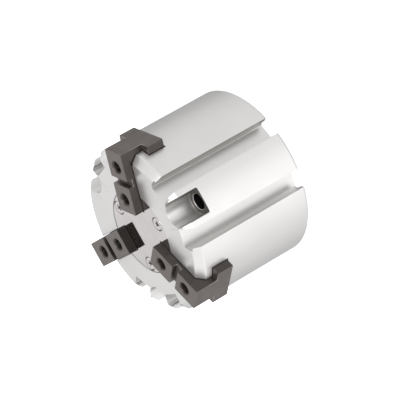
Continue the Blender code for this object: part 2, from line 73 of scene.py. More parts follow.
# Body: outside
ROUND = 256
RIM_CHAMFER = 3.0 * MM
REAR_CHAMFER = 0.6 * MM
BODY_EDGE = 0.22 * MM
FINGER_ANGLES = (90.0, -30.0, -150.0)
SCREW_ANGLES = (30.0, 150.0, -90.0)
BOLT_CIRCLE = 30.5 * MM
BOLT_HOLE_RADIUS = 3.3 * MM
BOLT_HOLE_MOUTH = 0.25 * MM
BOLT_HOLE_FLARE = 4.3 * MM    # the cutter's radius where it starts, behind the rear face
RECESS_RADIUS = 5.3 * MM
RECESS_FLOOR = BODY_LENGTH - 12.0 * MM
GROOVE_ANGLES = (10.6, 49.4, 130.6)
DEEP_GROOVE_ANGLES = (-109.4, -70.6)
GROOVE_FLOOR = 28.3 * MM
DEEP_GROOVE_FLOOR = 27.0 * MM
GROOVE_FLOOR_HALF = 4.3 * MM
GROOVE_SHELF = 30.6 * MM
GROOVE_WIDE_HALF = 4.7 * MM
GROOVE_LIP = 32.2 * MM
GROOVE_MOUTH_HALF = 3.8 * MM
PORT_ANGLE = -150.0
PORT_HEIGHTS = (10.1 * MM, 24.9 * MM)
PORT_DEPTH = 6.0 * MM
PORT_PAST = 0.4 * MM
PORT_REACH = 8.0 * MM    # with its drill point
PORT_MARGIN = 0.5 * MM

# Body: inside
SLOT_INNER = 5.6 * MM
LEG_SLOT_OUTER = 28.6 * MM
CENTRE_RADIUS = 11.0 * MM
CHAMBER_RADIUS = 19.5 * MM
CHAMBER_FLOOR = CAM_BOTTOM - GAP
ROD_HOLE_RADIUS = 8.3 * MM
ROD_HOLE_BOTTOM = 28.8 * MM
SEAL_SEAT_RADIUS = 11.0 * MM
SEAL_SEAT_BOTTOM = 27.0 * MM
RETAINER_SEAT_RADIUS = 12.6 * MM
CYLINDER_RADIUS = 25.0 * MM
CYLINDER_TOP = 26.0 * MM
CYLINDER_BOTTOM = 8.6 * MM
CAP_SEAT_RADIUS = 25.6 * MM
RING_SEAT_RADIUS = 26.3 * MM
RING_SEAT_TOP = 2.6 * MM
RING_SEAT_BOTTOM = 0.8 * MM

# End plate and its screws
PLATE_PLAY = 0.12 * MM
PLATE_EDGE = 0.12 * MM
PLATE_SCREW_CIRCLE = 14.3 * MM
PLATE_HOLE_RADIUS = 1.55 * MM
PILOT_DEPTH = 7.5 * MM
SINK_RADIUS = 3.0 * MM
SINK_DEPTH = 1.2 * MM
HEAD_RADIUS = 2.7 * MM
HEAD_HEIGHT = 0.9 * MM
HEAD_CROWN = 0.45 * MM
SHANK_RADIUS = 1.25 * MM
SHANK_TIP_RADIUS = 0.95 * MM
SHANK_TIP = 0.4 * MM
CROSS_REACH = 1.55 * MM
CROSS_FLOOR_REACH = 0.6 * MM
CROSS_DEPTH = 0.75 * MM
CROSS_HALF = 0.3 * MM
CROSS_PAST = 0.1 * MM
SCREW_EDGE = 0.05 * MM
FIRST_CROSS_TURN = 75.0
CROSS_TURN_STEP = 55.0

# Fingers
FINGER_WIDTH = 10.3 * MM
FINGER_INNER = 10.6 * MM
FINGER_EDGE = 0.3 * MM
FLANGE_TOP = BODY_LENGTH - 6.4 * MM
FLANGE_BOTTOM = BODY_LENGTH - 13.8 * MM
KEYWAY_INNER = 22.5 * MM
KEYWAY_WIDTH = 3.0 * MM
KEYWAY_DEPTH = 2.3 * MM
TAPPED_PLACES = (16.3 * MM, 30.4 * MM)
TAPPED_DEPTH = 9.0 * MM
TAPPED_PAST = 0.3 * MM
TAPPED_MOUTH = 2.95 * MM
LEG_WIDTH = 8.0 * MM
LEG_OUTER = 22.0 * MM
LEG_BOTTOM = 31.5 * MM
TOE_TOP = 44.0 * MM
KEY_LOW = 33.6 * MM
KEY_HIGH = 42.3 * MM
KEY_HEAD_HIGH = 41.8 * MM
KEY_NECK_LOW = 33.8 * MM
KEY_NECK_HIGH = 41.5 * MM
KEY_NECK_WIDTH = 4.0 * MM
KEY_HEAD_WIDTH = 7.0 * MM
KEY_NECK_DEPTH = 2.0 * MM
KEY_DEPTH = 3.8 * MM
RIDGE_COUNT = 4
RIDGE_PITCH = 0.9 * MM
RIDGE_START = 0.6     # the first cut's height above the plate, in pitches
RIDGE_DEPTH = 0.22 * MM
RIDGE_HALF = 0.22 * MM

# Rear cover and snap ring
BOSS_RADIUS = 17.0 * MM
BOSS_HEIGHT = 2.7 * MM
O_RING_FLOOR = 23.8 * MM
O_RING_BOTTOM = 4.4 * MM
O_RING_TOP = 6.6 * MM
DISH_RADIUS = 20.0 * MM
DISH_DEPTH = 1.0 * MM
COVER_EDGE = 0.2 * MM
RING_OUTER = 26.0 * MM
RING_INNER = 22.2 * MM
RING_OPENING = 16.0
RING_STEPS = 120
EYE_CIRCLE = 22.0 * MM
EYE_RADIUS = 2.3 * MM
EYE_HOLE_RADIUS = 1.0 * MM
EYE_TURN = 18.0
RING_EDGE = 0.15 * MM

# Threads
M5_RADIUS = 2.45 * MM
M5_CORE = 2.07 * MM
M5_PITCH = 0.8 * MM
THREAD_FLANK = 1.15   # above 1 leaves a flat strip between the thread's crests

# Mesh work
WELD = 0.002 * MM                   # closer points become one
CLEAR_OF_CUTS = math.radians(0.8)   # how far the barrel's facet edges stay from the sides of a cut
HARD_EDGE = math.radians(32.0)      # steeper edges are rounded
SHARP_EDGE = math.radians(40.0)     # steeper edges are shaded sharp
LARGE_FACE_WEIGHT = 50
LEVEL_FACE = 0.9995                 # a normal's Z on faces that count as level
UPRIGHT_FACE = 0.05                 # and on faces that count as upright
WALL_TOLERANCE = 0.02 * MM
GROOVE_SIDE_AREA = 40.0 * MM * MM   # larger flat faces of the barrel are shaded flat

# Looks
# Near-black painted shade for the insides of holes
BORE_SHADE = (0.012, 0.010, 0.009)
BRIGHT_SIDE = (0.77, 0.64, 0.0)   # the way that walls face where they get no painted shade, towards the light


# Shapes

def circle(radius, segments, centre=(0.0, 0.0)):
    steps = (math.tau * i / segments for i in range(segments))
    return [(centre[0] + radius * math.cos(a), centre[1] + radius * math.sin(a)) for a in steps]


def finished(bm, name):
    bmesh.ops.recalc_face_normals(bm, faces=bm.faces)
    mesh = bpy.data.meshes.new(name)
    bm.to_mesh(mesh)
    bm.free()
    return mesh


def prism(outline, low, high):
    """A straight prism over an outline, from one height to another."""
    bm = bmesh.new()
    floor = [bm.verts.new((x, y, low)) for x, y in outline]
    roof = [bm.verts.new((x, y, high)) for x, y in outline]
    bm.faces.new(floor)
    bm.faces.new(roof)
    for i in range(len(outline)):
        j = (i + 1) % len(outline)
        bm.faces.new((floor[i], floor[j], roof[j], roof[i]))
    return finished(bm, "prism")


def box(x, y, z):
    (x0, x1), (y0, y1), (z0, z1) = x, y, z
    return prism([(x0, y0), (x1, y0), (x1, y1), (x0, y1)], z0, z1)


def turned(profile, segments=ROUND, left_out=()):
    """A solid turned about Z over a closed loop of (radius, height), without facet edges near some angles."""
    steps = [math.tau * i / segments for i in range(segments)]
    steps = [a for a in steps if all(math.cos(a - b) < math.cos(CLEAR_OF_CUTS) for b in left_out)]
    segments = len(steps)
    bm = bmesh.new()
    rings = []
    for radius, height in profile:
        if radius == 0.0:
            rings.append([bm.verts.new((0.0, 0.0, height))] * segments)
        else:
            rings.append([bm.verts.new((radius * math.cos(a), radius * math.sin(a), height)) for a in steps])
    for a, b in zip(rings, rings[1:] + rings[:1]):
        for i in range(segments):
            j = (i + 1) % segments
            corners = [a[i], a[j], b[j], b[i]]
            distinct = [v for k, v in enumerate(corners) if v not in corners[:k]]
            if len(distinct) > 2:
                bm.faces.new(distinct)
    return finished(bm, "turned")


def moved(mesh, shift=(0.0, 0.0, 0.0), turn=0.0):
    mesh.transform(Matrix.Rotation(math.radians(turn), 4, "Z") @ Matrix.Translation(shift))
    return mesh


def along_x(mesh):
    """Turn a prism made over (across, height) outlines so that its length runs along +X."""
    mesh.transform(Matrix(((0, 0, 1, 0), (1, 0, 0, 0), (0, 1, 0, 0), (0, 0, 0, 1))))
    return mesh


def side_prism(outline, half_width):
    """A prism over an outline in (radius, height), as thick as the given width, lying along +X."""
    mesh = prism([(-height, radius) for radius, height in outline], -half_width, half_width)
    mesh.transform(Matrix(((0, 1, 0, 0), (0, 0, 1, 0), (-1, 0, 0, 0), (0, 0, 0, 1))))
    mesh.flip_normals()
    return mesh


def together(meshes):
    """Several shapes that don't touch, as one mesh."""
    bm = bmesh.new()
    for mesh in meshes:
        bm.from_mesh(mesh)
    return finished(bm, "group")


def around(angles, make):
    return together([moved(make(), turn=angle) for angle in angles])


def threaded_bore(core, outer, pitch, top, depth, around_steps=40, per_turn=8):
    """A cutter for a tapped hole: a cylinder whose wall is a helical V thread, with a drill point."""
    rows = round(depth / pitch * per_turn)
    bm = bmesh.new()
    grid = []
    for row in range(rows + 1):
        height = top - depth * row / rows
        ring = []
        for step in range(around_steps):
            phase = (row / per_turn + step / around_steps) % 1.0
            swell = max(0.0, 1.0 - abs(2.0 * phase - 1.0) * THREAD_FLANK)
            radius = core + (outer - core) * swell
            angle = math.tau * step / around_steps
            ring.append(bm.verts.new((radius * math.cos(angle), radius * math.sin(angle), height)))
        grid.append(ring)
    for a, b in zip(grid, grid[1:]):
        for i in range(around_steps):
            j = (i + 1) % around_steps
            bm.faces.new((a[i], a[j], b[j], b[i]))
    bm.faces.new(grid[0])
    tip = bm.verts.new((0, 0, top - depth - core / 2))
    for i in range(around_steps):
        bm.faces.new((grid[-1][i], grid[-1][(i + 1) % around_steps], tip))
    return finished(bm, "threaded_bore")


def added(name, data):
    thing = bpy.data.objects.new(name, data)
    bpy.context.scene.collection.objects.link(thing)
    return thing


def bake(piece):
    """Make the result of a piece's modifiers its own mesh."""
    bpy.context.view_layer.update()
    graph = bpy.context.evaluated_depsgraph_get()
    piece.data = bpy.data.meshes.new_from_object(piece.evaluated_get(graph))
    piece.modifiers.clear()


def carved(name, base, adds=(), cuts=()):
    """A new object: the base shape with the additions joined to it and the cutters taken away."""
    piece = added(name, base)
    helpers = []
    for meshes, operation in ((adds, "UNION"), (cuts, "DIFFERENCE")):
        for mesh in meshes:
            helper = added(name + "_helper", mesh)
            boolean = piece.modifiers.new("Boolean", "BOOLEAN")
            boolean.operation = operation
            boolean.solver = "EXACT"
            boolean.object = helper
            helpers.append(helper)
    bake(piece)
    for helper in helpers:
        bpy.data.objects.remove(helper)
    bm = bmesh.new()
    bm.from_mesh(piece.data)
    bmesh.ops.remove_doubles(bm, verts=bm.verts, dist=WELD)
    bmesh.ops.dissolve_degenerate(bm, edges=bm.edges, dist=WELD)
    bm.to_mesh(piece.data)
    bm.free()
    return piece


def eased(piece, width, spared=lambda point: False):
    """Round every hard edge by the given width, except the spared ones."""
    bm = bmesh.new()
    bm.from_mesh(piece.data)
    weights = bm.edges.layers.float.new("bevel_weight_edge")
    for edge in bm.edges:
        hard = edge.calc_face_angle(0.0) > HARD_EDGE
        edge[weights] = float(hard and not any(spared(vert.co) for vert in edge.verts))
    bm.to_mesh(piece.data)
    bm.free()
    bevel = piece.modifiers.new("Edges", "BEVEL")
    bevel.width = width
    bevel.segments = 2
    bevel.limit_method = "WEIGHT"
    bevel.use_clamp_overlap = False
    bake(piece)


def shaded(piece):
    """Smooth shading whose normals follow the larger faces, so flat faces stay flat."""
    piece.data.shade_smooth()
    piece.data.set_sharp_from_angle(angle=SHARP_EDGE)
    weighted = piece.modifiers.new("Normals", "WEIGHTED_NORMAL")
    weighted.keep_sharp = True
    weighted.weight = LARGE_FACE_WEIGHT


def exact_normals(face, corners):
    """The true normals at a barrel face's corners, or nothing where the weighted ones are good enough."""
    if abs(face.normal.z) > LEVEL_FACE:
        return [Vector((0.0, 0.0, math.copysign(1.0, face.normal.z)))] * len(corners)
    upright = abs(face.normal.z) < UPRIGHT_FACE
    if upright and all(abs(corner.xy.length - BODY_RADIUS) < WALL_TOLERANCE for corner in corners):
        return [Vector((corner.x, corner.y, 0.0)).normalized() for corner in corners]
    if face.area > GROOVE_SIDE_AREA:
        return [face.normal.copy()] * len(corners)
    return []


def true_barrel(piece):
    """Bake the shading, then set exact normals on the barrel's wall, level faces and groove sides."""
    bake(piece)
    mesh = piece.data
    normals = [Vector(corner.vector) for corner in mesh.corner_normals]
    for face in mesh.polygons:
        corners = [mesh.vertices[index].co for index in face.vertices]
        for loop, normal in zip(face.loop_indices, exact_normals(face, corners)):
            normals[loop] = normal
    mesh.normals_split_custom_set(normals)


def slope_point(height, depth=0.0):
    """A point of (radius, height) on the cam's slope, moved into the cam by the given depth."""
    radius = CAM_RADIUS - (height - CAM_BOTTOM)
    shift = depth / math.sqrt(2)
    return (radius - shift, height - shift)


def slope_strip(low, high, top_depth, bottom_depth):
    return [slope_point(high, top_depth), slope_point(high, bottom_depth),
            slope_point(low, bottom_depth), slope_point(low, top_depth)]


# Materials

def new_material(name):
    mat = bpy.data.materials.new(name)
    mat.use_nodes = True
    tree = mat.node_tree
    return mat, tree, tree.nodes["Principled BSDF"]


def node(tree, kind, inputs=None, **settings):
    made = tree.nodes.new(kind)
    for key, value in settings.items():
        setattr(made, key, value)
    for key, value in (inputs or {}).items():
        if isinstance(value, bpy.types.NodeSocket):
            tree.links.new(value, made.inputs[key])
        else:
            made.inputs[key].default_value = value
    return made


def math_node(tree, operation, a, b=0.0):
    return node(tree, "ShaderNodeMath", {0: a, 1: b}, operation=operation).outputs[0]


def vector_node(tree, operation, a, b=(0.0, 0.0, 0.0)):
    made = node(tree, "ShaderNodeVectorMath", {0: a, 1: b}, operation=operation)
    return made.outputs["Value" if operation in ("DOT_PRODUCT", "LENGTH") else "Vector"]


def place(tree):
    return node(tree, "ShaderNodeTexCoord").outputs["Object"]


def height_of(tree, where):
    return node(tree, "ShaderNodeSeparateXYZ", {0: where}).outputs["Z"]


def flattened(tree):
    """The place without its height."""
    return vector_node(tree, "MULTIPLY", place(tree), (1.0, 1.0, 0.0))


def noise(tree, scale, detail=3.0, roughness=0.5, stretch=None):
    """Noise whose scale is in features per metre, optionally stretched along the axes."""
    where = place(tree)
    if stretch:
        where = node(tree, "ShaderNodeMapping", {"Vector": where, "Scale": stretch}).outputs[0]
    made = node(tree, "ShaderNodeTexNoise", {"Vector": where, "Scale": scale, "Detail": detail,
                                             "Roughness": roughness})
    return made.outputs["Fac"]


def ranged(tree, value, low, high, start=0.0, end=1.0, ramp="LINEAR"):
    made = node(tree, "ShaderNodeMapRange", {"Value": value, "From Min": start, "From Max": end,
                                             "To Min": low, "To Max": high}, interpolation_type=ramp)
    return made.outputs["Result"]


def mixed(tree, factor, a, b):
    made = node(tree, "ShaderNodeMix", {"Factor": factor}, data_type="RGBA")
    for socket, value in ((made.inputs[6], a), (made.inputs[7], b)):
        if isinstance(value, bpy.types.NodeSocket):
            tree.links.new(value, socket)
        else:
            socket.default_value = (*value, 1.0)
    return made.outputs[2]


def edge_highlight_mask(tree, width):
    """Where the painted edge highlight goes: 1 along convex and concave edges, 0 on open surfaces."""
    soft = node(tree, "ShaderNodeBevel", {"Radius": width}, samples=6).outputs["Normal"]
    hard = node(tree, "ShaderNodeNewGeometry").outputs["Normal"]
    return ranged(tree, vector_node(tree, "DOT_PRODUCT", soft, hard), 1.0, 0.0, 0.80, 0.99)


def hollow_shade(tree, reach, open_at=0.72, closed_at=0.10):
    """Where painted shade goes: 0 on open surfaces, growing towards 1 in slots, holes and inner corners."""
    open_sky = node(tree, "ShaderNodeAmbientOcclusion", {"Distance": reach}, samples=8, only_local=True)
    return ranged(tree, open_sky.outputs["AO"], 1.0, 0.0, closed_at, open_at)


def object_normal(tree):
    """The surface's direction in the object's own axes, and its size along each of them."""
    normal = node(tree, "ShaderNodeTexCoord").outputs["Normal"]
    sizes = node(tree, "ShaderNodeSeparateXYZ", {0: vector_node(tree, "ABSOLUTE", normal)}).outputs
    return normal, sizes["X"], sizes["Y"], sizes["Z"]


def wall_shade_mask(tree):
    """Where painted shade goes on the walls: 1 on upright walls that face neither outwards from the axis nor
    towards the bright side.
    """
    normal, _, _, upward = object_normal(tree)
    outwards = vector_node(tree, "NORMALIZE", flattened(tree))
    sideways = ranged(tree, vector_node(tree, "DOT_PRODUCT", normal, outwards), 1.0, 0.0, 0.45, 0.93)
    lit = vector_node(tree, "DOT_PRODUCT", normal, BRIGHT_SIDE)
    shaded_side = ranged(tree, lit, 1.0, 0.0, 0.25, 0.60)
    level = ranged(tree, upward, 1.0, 0.0, 0.2, 0.7)
    return math_node(tree, "MULTIPLY", math_node(tree, "MULTIPLY", sideways, shaded_side), level)


def recess_floor_shade_mask(tree):
    """Where painted shade goes on the end walls of the screw recesses, which face the front: 1 there."""
    level = ranged(tree, object_normal(tree)[3], 0.0, 1.0, 0.8, 0.95)
    height = height_of(tree, place(tree))
    deep = ranged(tree, height, 1.0, 0.0, RECESS_FLOOR + 0.1 * MM, RECESS_FLOOR + 0.6 * MM)
    return math_node(tree, "MULTIPLY", level, deep)


def within(tree, spots, radius):
    """1 where the surface is nearer than a radius to any of the upright lines through (x, y) spots."""
    flat = flattened(tree)
    gaps = [vector_node(tree, "LENGTH", vector_node(tree, "SUBTRACT", flat, (x, y, 0.0))) for x, y in spots]
    nearest = gaps[0]
    for gap in gaps[1:]:
        nearest = math_node(tree, "MINIMUM", nearest, gap)
    return ranged(tree, nearest, 1.0, 0.0, radius - 0.05 * MM, radius)


def turned_rings(tree, per_metre):
    """Fine lathe rings about the object's Z axis, as an uneven value from 0 to 1."""
    radius = vector_node(tree, "LENGTH", flattened(tree))
    made = node(tree, "ShaderNodeTexNoise", {"W": radius, "Scale": per_metre, "Detail": 2.0},
                noise_dimensions="1D")
    return made.outputs["Fac"]


def bumped(tree, shader, height, strength, distance):
    bump = node(tree, "ShaderNodeBump", {"Height": height, "Strength": strength, "Distance": distance})
    tree.links.new(bump.outputs["Normal"], shader.inputs["Normal"])


def blasted_aluminium():
    """Bead-blasted, clear anodised aluminium: a fine even grain, with a painted highlight along the edges and
    painted shade on the walls that face away from the light, the recess end walls, inner corners and the bolt
    holes.
    """
    mat, tree, shader = new_material("blasted_aluminium_look")
    shader.inputs["Metallic"].default_value = 0.85
    cloudy = ranged(tree, noise(tree, 60.0), 0.0, 1.0, 0.35, 0.65)
    grain = noise(tree, 4500.0, 2.0, 0.6)
    colour = mixed(tree, cloudy, (0.845, 0.835, 0.825), (0.88, 0.87, 0.86))
    colour = mixed(tree, ranged(tree, grain, 0.0, 0.16, 0.3, 0.7), colour, (0.70, 0.70, 0.71))
    # Painted shade: walls that face away from the light made darker
    colour = mixed(tree, ranged(tree, wall_shade_mask(tree), 0.0, 0.80), colour, (0.27, 0.25, 0.225))
    # Painted shade: the recess end walls made darker
    colour = mixed(tree, recess_floor_shade_mask(tree), colour, (0.13, 0.12, 0.11))
    # Painted shade: a warm, darker colour in slots, grooves and inner corners
    colour = mixed(tree, hollow_shade(tree, 6.0 * MM, 0.34, 0.05), colour, (0.18, 0.15, 0.12))
    spots = [(BOLT_CIRCLE * math.cos(math.radians(a)), BOLT_CIRCLE * math.sin(math.radians(a)))
             for a in SCREW_ANGLES]
    # Painted shade: the bolt holes painted near black
    bolt_hole_shade = ranged(tree, within(tree, spots, BOLT_HOLE_RADIUS + MARGIN), 0.0, 0.95)
    colour = mixed(tree, bolt_hole_shade, colour, BORE_SHADE)
    # Painted highlight: a light line along the edges
    colour = mixed(tree, ranged(tree, edge_highlight_mask(tree, 0.30 * MM), 0.0, 0.6), colour, (0.96, 0.96, 0.96))
    tree.links.new(colour, shader.inputs["Base Color"])
    tree.links.new(ranged(tree, grain, 0.30, 0.42, 0.3, 0.7), shader.inputs["Roughness"])
    bumped(tree, shader, grain, 0.35, 0.03 * MM)
    return mat


def treated_steel():
    """Heat-treated, brown-grey steel with ground front and outer end; painted shade darkens the sides, the
    inner end, the countersinks and the holes, and a painted highlight runs along the edges.
    """
    mat, tree, shader = new_material("treated_steel_look")
    shader.inputs["Metallic"].default_value = 0.85
    mottle = ranged(tree, noise(tree, 260.0, 4.0), 0.0, 1.0, 0.35, 0.65)
    lines = noise(tree, 900.0, 2.0, 0.6, stretch=(1.0, 1.0, 6.0))
    colour = mixed(tree, mottle, (0.195, 0.172, 0.163), (0.235, 0.208, 0.197))
    _, lengthways, across, upward = object_normal(tree)
    along = node(tree, "ShaderNodeSeparateXYZ", {0: place(tree)}).outputs["X"]
    inner_end = ranged(tree, along, 1.0, 0.0, FINGER_INNER + 0.20 * MM, FINGER_INNER + 0.35 * MM)
    # Painted shade: the sides and the inner end made darker
    sides = math_node(tree, "MAXIMUM", ranged(tree, across, 0.0, 0.8, 0.4, 0.9), inner_end)
    colour = mixed(tree, sides, colour, (0.050, 0.044, 0.041))
    # Painted highlight: a light line along the edges, except at the inner end
    squarest = math_node(tree, "MAXIMUM", math_node(tree, "MAXIMUM", lengthways, across), upward)
    painted_edge_highlight = math_node(tree, "MULTIPLY", ranged(tree, squarest, 1.0, 0.0, 0.80, 0.97),
                       ranged(tree, inner_end, 1.0, 0.0))
    colour = mixed(tree, ranged(tree, painted_edge_highlight, 0.0, 0.55), colour, (0.60, 0.56, 0.54))
    spots = [(spot, 0.0) for spot in TAPPED_PLACES]
    # Painted shade: the countersinks made darker than the face
    colour = mixed(tree, within(tree, spots, TAPPED_MOUTH), colour, (0.11, 0.096, 0.089))
    # Painted shade: the threaded bores painted near black
    inside = ranged(tree, within(tree, spots, M5_RADIUS), 0.0, 0.9)
    colour = mixed(tree, inside, colour, BORE_SHADE)
    colour = mixed(tree, ranged(tree, lines, 0.0, 0.25, 0.3, 0.7), colour, (0.14, 0.12, 0.11))
    # Painted shade: near black in slots, holes and inner corners
    colour = mixed(tree, hollow_shade(tree, 6.0 * MM, 0.62, 0.15), colour, (0.006, 0.005, 0.004))
    tree.links.new(colour, shader.inputs["Base Color"])
    tree.links.new(ranged(tree, mottle, 0.30, 0.42), shader.inputs["Roughness"])
    bumped(tree, shader, lines, 0.12, 0.02 * MM)
    return mat


def polished_stainless():
    """Face-turned and polished stainless steel, with very fine lathe rings, and painted shade in the screws'
    cross recesses and inner corners.
    """
    mat, tree, shader = new_material("polished_stainless_look")
    shader.inputs["Metallic"].default_value = 1.0
    rings = turned_rings(tree, 5000.0)
    smear = noise(tree, 150.0, 3.0)
    colour = mixed(tree, ranged(tree, smear, 0.0, 1.0, 0.3, 0.7), (0.70, 0.67, 0.665), (0.76, 0.73, 0.725))
    # Painted shade: darker in the screws' cross recesses and inner corners
    colour = mixed(tree, hollow_shade(tree, 0.8 * MM), colour, (0.04, 0.036, 0.034))
    # Painted shade: the cross recess in each screw head painted near black
    sunk = ranged(tree, height_of(tree, place(tree)), 1.0, 0.0, SCREW_TOP - 0.25 * MM, SCREW_TOP - 0.08 * MM)
    cross = math_node(tree, "MULTIPLY", within(tree, [(0.0, 0.0)], CROSS_REACH + MARGIN), sunk)
    colour = mixed(tree, ranged(tree, cross, 0.0, 0.9), colour, (0.03, 0.027, 0.026))
    tree.links.new(colour, shader.inputs["Base Color"])
    tree.links.new(ranged(tree, rings, 0.03, 0.07, 0.3, 0.7), shader.inputs["Roughness"])
    bumped(tree, shader, rings, 0.05, 0.005 * MM)
    return mat


def machined_metal(name, dark, light, rough):
    """Turned metal with visible lathe rings."""
    mat, tree, shader = new_material(name)
    shader.inputs["Metallic"].default_value = 1.0
    rings = turned_rings(tree, 1500.0)
    colour = mixed(tree, ranged(tree, noise(tree, 120.0, 3.0), 0.0, 1.0, 0.3, 0.7), dark, light)
    tree.links.new(colour, shader.inputs["Base Color"])
    tree.links.new(ranged(tree, rings, rough[0], rough[1], 0.3, 0.7), shader.inputs["Roughness"])
    bumped(tree, shader, rings, 0.25, 0.02 * MM)
    return mat


def moulded_rubber(name, dark, light, rough=(0.6, 0.8)):
    """Matt moulded rubber or urethane with a fine grain."""
    mat, tree, shader = new_material(name)
    grain = noise(tree, 2500.0, 3.0)
    colour = mixed(tree, ranged(tree, noise(tree, 200.0, 2.0), 0.0, 1.0, 0.3, 0.7), dark, light)
    tree.links.new(colour, shader.inputs["Base Color"])
    tree.links.new(ranged(tree, grain, rough[0], rough[1], 0.3, 0.7), shader.inputs["Roughness"])
    bumped(tree, shader, grain, 0.2, 0.02 * MM)
    return mat


LOOKS = {
    "blasted_aluminium": blasted_aluminium(),
    "treated_steel": treated_steel(),
    "polished_stainless": polished_stainless(),
    "machined_aluminium": machined_metal("machined_aluminium_look", (0.72, 0.72, 0.73), (0.80, 0.80, 0.80),
                                         (0.28, 0.42)),
    "steel": machined_metal("steel_look", (0.42, 0.42, 0.43), (0.52, 0.52, 0.52), (0.25, 0.38)),
    "spring_steel": machined_metal("spring_steel_look", (0.09, 0.09, 0.10), (0.15, 0.15, 0.16), (0.35, 0.5)),
    "nitrile_rubber": moulded_rubber("nitrile_rubber_look", (0.012, 0.012, 0.012), (0.03, 0.03, 0.03)),
    "urethane": moulded_rubber("urethane_look", (0.50, 0.26, 0.07), (0.60, 0.34, 0.10), (0.45, 0.6)),
    "rubber_magnet": moulded_rubber("rubber_magnet_look", (0.04, 0.035, 0.035), (0.07, 0.06, 0.06)),
}


def dress(piece, slot):
    piece.data.materials.clear()
    piece.data.materials.append(LOOKS[slot])


def stand_in(piece, slot, body, node_name):
    """Give a new piece its material and its body, and let it stand for a CAD node."""
    dress(piece, slot)
    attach(piece, body)
    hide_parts(node_name)


# The body

def t_slot():
    narrow = FINGER_WIDTH / 2 + GAP
    wide = FLANGE_WIDTH / 2 + GAP
    low = FLANGE_BOTTOM - GAP
    step = FLANGE_TOP + GAP
    top = BODY_LENGTH + CUT_PAST
    outline = [(wide, low), (wide, step), (narrow, step), (narrow, top),
               (-narrow, top), (-narrow, step), (-wide, step), (-wide, low)]
    return along_x(prism(outline, SLOT_INNER, BODY_RADIUS + 4 * CUT_PAST))


def leg_slot():
    half = LEG_WIDTH / 2 + GAP
    return box((SLOT_INNER, LEG_SLOT_OUTER), (-half, half), (CHAMBER_FLOOR, FLANGE_BOTTOM))


def sensor_groove(floor):
    beyond = BODY_RADIUS + 2 * CUT_PAST
    half = [(beyond, GROOVE_MOUTH_HALF), (GROOVE_LIP, GROOVE_MOUTH_HALF), (GROOVE_LIP, GROOVE_WIDE_HALF),
            (GROOVE_SHELF, GROOVE_WIDE_HALF), (floor, GROOVE_FLOOR_HALF)]
    outline = [(x, -y) for x, y in reversed(half)] + half
    return prism(outline, -CUT_PAST, BODY_LENGTH + CUT_PAST)


def screw_recess():
    arc = [math.radians(90 + 180 * i / 32) for i in range(33)]
    inner = [(BOLT_CIRCLE + RECESS_RADIUS * math.cos(a), RECESS_RADIUS * math.sin(a)) for a in arc]
    beyond = BODY_RADIUS + 2 * CUT_PAST
    outline = inner + [(beyond, -RECESS_RADIUS), (beyond, RECESS_RADIUS)]
    return prism(outline, RECESS_FLOOR, BODY_LENGTH + CUT_PAST)


def bolt_hole():
    """A cutter for a through hole, widened at both ends."""
    mouth = BOLT_HOLE_MOUTH
    profile = [(0.0, -CUT_PAST), (BOLT_HOLE_FLARE, -CUT_PAST),
               (BOLT_HOLE_RADIUS, mouth), (BOLT_HOLE_RADIUS, RECESS_FLOOR - mouth),
               (BOLT_HOLE_RADIUS + 2 * mouth, RECESS_FLOOR + mouth), (0.0, RECESS_FLOOR + mouth)]
    return moved(turned(profile, 64), (BOLT_CIRCLE, 0.0, 0.0))


def plate_pilot():
    pilot = prism(circle(PLATE_HOLE_RADIUS, 24), PLATE_TOP - PILOT_DEPTH, BODY_LENGTH)
    return moved(pilot, (PLATE_SCREW_CIRCLE, 0.0, 0.0))


def port(height):
    bore = threaded_bore(M5_CORE, M5_RADIUS, M5_PITCH, BODY_RADIUS + PORT_PAST, PORT_DEPTH)
    bore.transform(Matrix.Translation((0, 0, height)) @ Matrix.Rotation(math.radians(90), 4, "Y"))
    return moved(bore, turn=PORT_ANGLE)


def in_a_port(point):
    outwards = Vector((math.cos(math.radians(PORT_ANGLE)), math.sin(math.radians(PORT_ANGLE)), 0.0))
    along = point.dot(outwards)
    gaps = [(point - along * outwards - Vector((0.0, 0.0, height))).length for height in PORT_HEIGHTS]
    return along > BODY_RADIUS - PORT_REACH and min(gaps) < M5_RADIUS + PORT_MARGIN


def cut_sides():
    """The angles at which the sides of the slots, grooves and recesses meet the barrel's wall."""
    cuts = ((FINGER_ANGLES, FLANGE_WIDTH / 2 + GAP), (FINGER_ANGLES, FINGER_WIDTH / 2 + GAP),
            (GROOVE_ANGLES + DEEP_GROOVE_ANGLES, GROOVE_MOUTH_HALF), (SCREW_ANGLES, RECESS_RADIUS))
    return [math.radians(angle) + side * math.asin(half / BODY_RADIUS)
            for angles, half in cuts for angle in angles for side in (-1, 1)]


